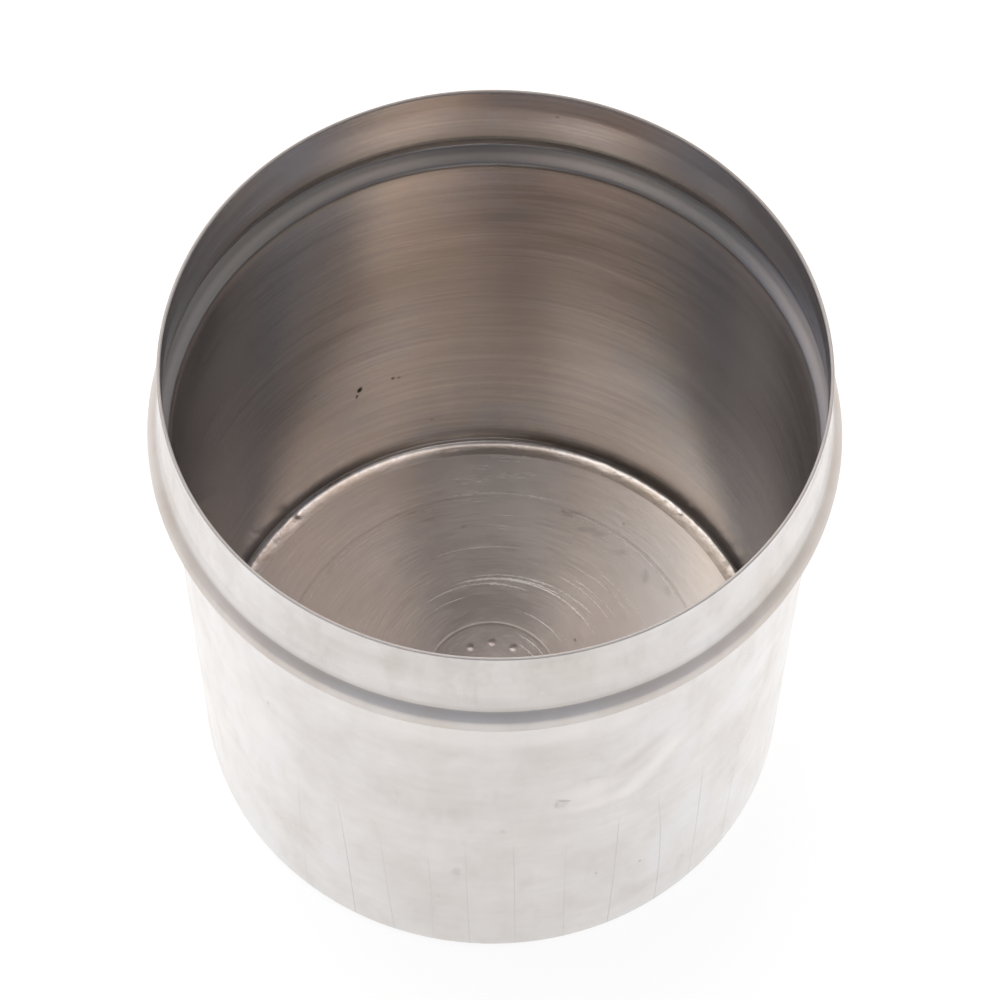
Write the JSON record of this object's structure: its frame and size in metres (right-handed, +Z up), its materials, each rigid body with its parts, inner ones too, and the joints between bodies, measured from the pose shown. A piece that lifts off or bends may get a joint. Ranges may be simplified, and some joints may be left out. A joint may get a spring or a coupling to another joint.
{
  "type": "film developing canister",
  "caption": "Open round can of thin sheet metal with a set-in base, and a rolled bead and collar that take a slip-on lid.",
  "frame": {"origin": "centre of the foot, on the surface that the can stands on", "axes": "+Z up along the can's axis, from the foot to the open mouth; +X and +Y are any two directions across it"},
  "size_m": [0.0928, 0.0928, 0.0925],
  "materials": {
    "shell_steel": "satin, worn and smudged, with fine brush lines round the inside",
    "base_steel": "satin, turned finish with fine rings and scratches",
    "seam_filler": "semi-bright, pitted, with brown residue"
  },
  "bodies": {
    "root": {"shell": "shell_steel", "base": "base_steel", "base_seam": "seam_filler"}
  },
  "joints": []
}
